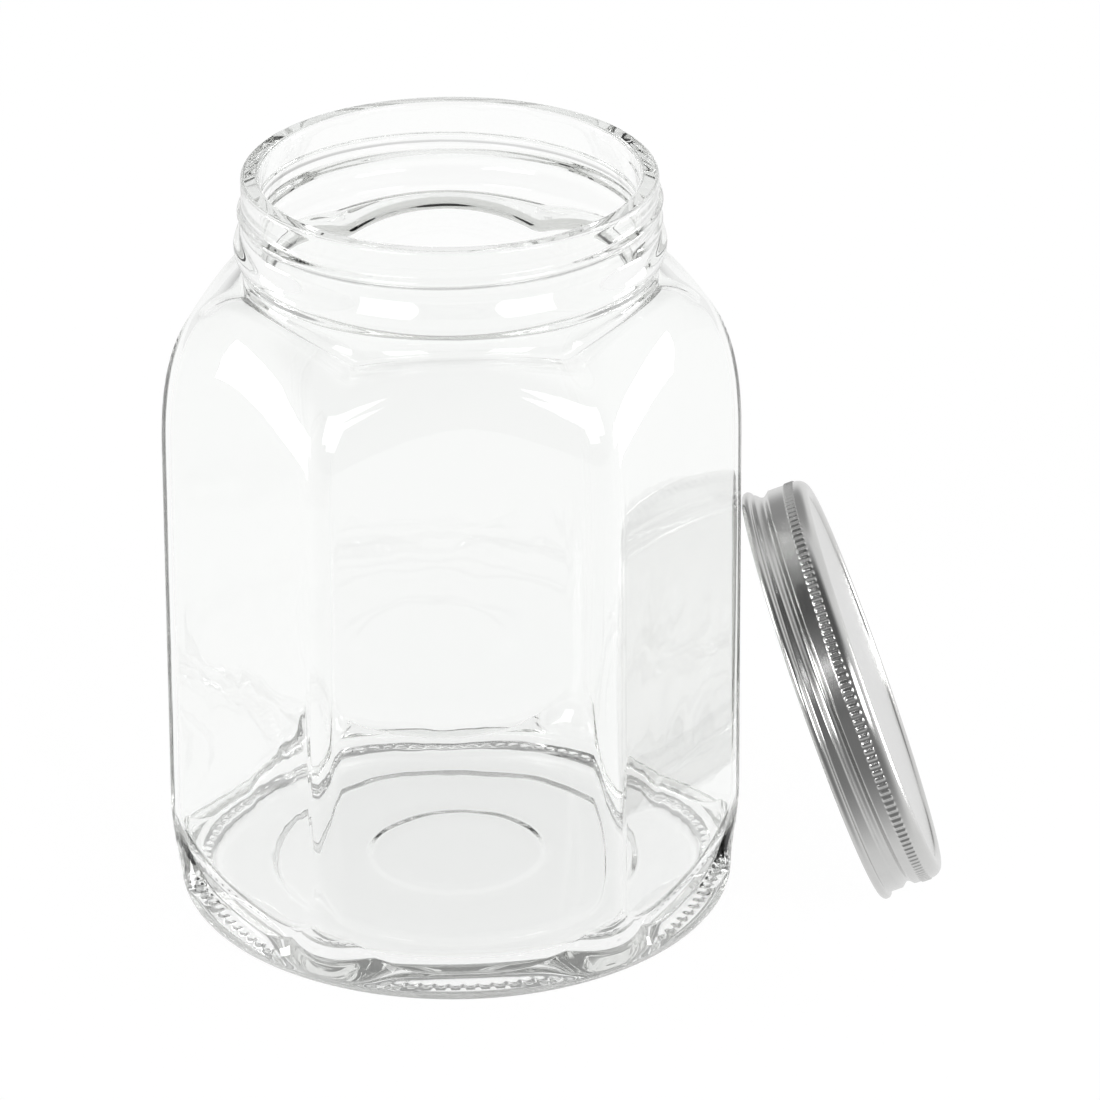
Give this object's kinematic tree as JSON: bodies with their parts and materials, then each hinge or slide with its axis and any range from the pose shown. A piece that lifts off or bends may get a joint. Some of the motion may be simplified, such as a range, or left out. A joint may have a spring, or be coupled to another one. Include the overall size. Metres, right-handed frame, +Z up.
{
  "type": "glass jar",
  "caption": "Empty clear glass candle jar with a hexagonal panelled body, round foot and threaded neck, and its silver metal screw lid taken off and leaning against it",
  "frame": {"origin": "on the table, at the middle of the box round the jar and its leaning lid, with the jar's axis 24.0 mm to -X of it", "axes": "+Z is up along the jar's axis; -Y looks out of a flat panel, the front; +X points from the jar to the leaning lid"},
  "size_m": [0.1871, 0.1348, 0.184],
  "materials": {
    "clear_glass": "clear, smooth moulded soda-lime glass",
    "bright_tin": "silver tinplate, satin with a light sheen",
    "liner_foam": "soft white foamed plastic"
  },
  "bodies": {
    "jar": {"glass_jar": "clear_glass"},
    "lid": {"lid_shell": "bright_tin", "lid_liner": "liner_foam"}
  },
  "joints": [
    {"name": "lid_tip", "type": "hinge", "parent": "jar", "child": "lid", "pos_m": [0.0966, -0.00928, 0], "axis": [0.014, 0.9999, 0], "range_deg": [0, 109.9]}
  ]
}
